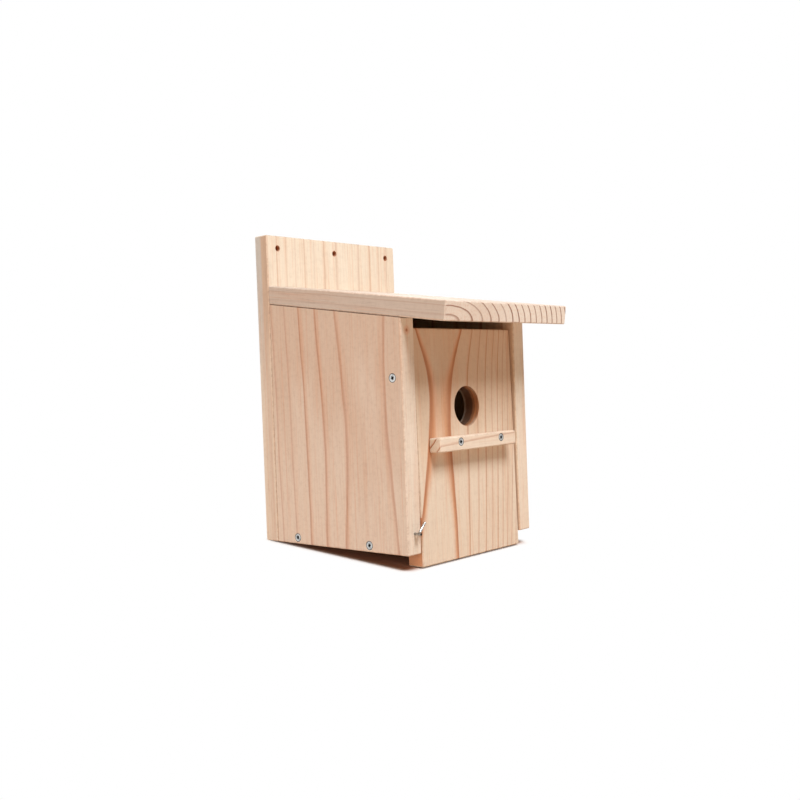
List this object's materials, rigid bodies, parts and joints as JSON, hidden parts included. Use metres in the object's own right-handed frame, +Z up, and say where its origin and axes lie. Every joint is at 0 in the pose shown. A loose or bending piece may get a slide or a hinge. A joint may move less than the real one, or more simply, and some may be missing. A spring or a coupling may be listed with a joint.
{
  "type": "bird nest box",
  "caption": "Wooden nest box with a tall back board, a sloping roof and a perch below a round entrance; its front swings up on pivot screws and is held shut by a turn hook.",
  "frame": {"origin": "on the wall face of the back board, on the axis of the middle hanging hole", "axes": "+X to the right seen from the front, +Y from the front towards the wall, +Z up"},
  "size_m": [0.158, 0.204, 0.2671],
  "materials": {
    "softwood": "planed, untreated",
    "hook_wire": "bright drawn wire",
    "screw_steel": "zinc plated"
  },
  "bodies": {
    "box": {"back_board": "softwood", "left_side": "softwood", "right_side": "softwood", "floor_board": "softwood", "roof_board": "softwood", "left_pivot_screw": "screw_steel", "right_pivot_screw": "screw_steel", "left_floor_screws": "screw_steel", "right_floor_screws": "screw_steel", "left_roof_screws": "screw_steel", "right_roof_screws": "screw_steel"},
    "door": {"front_door": "softwood", "perch_bar": "softwood", "perch_screws": "screw_steel"},
    "hook": {"turn_hook": "hook_wire"}
  },
  "joints": [
    {"name": "door_swing", "type": "hinge", "parent": "box", "child": "door", "pos_m": [0, -0.15, -0.1125], "axis": [-1, 0, 0], "range_deg": [0, 108]},
    {"name": "hook_turn", "type": "hinge", "parent": "box", "child": "hook", "pos_m": [-0.0715, -0.16, -0.2295], "axis": [0, -1, 0], "range_deg": [-45, 135]}
  ]
}
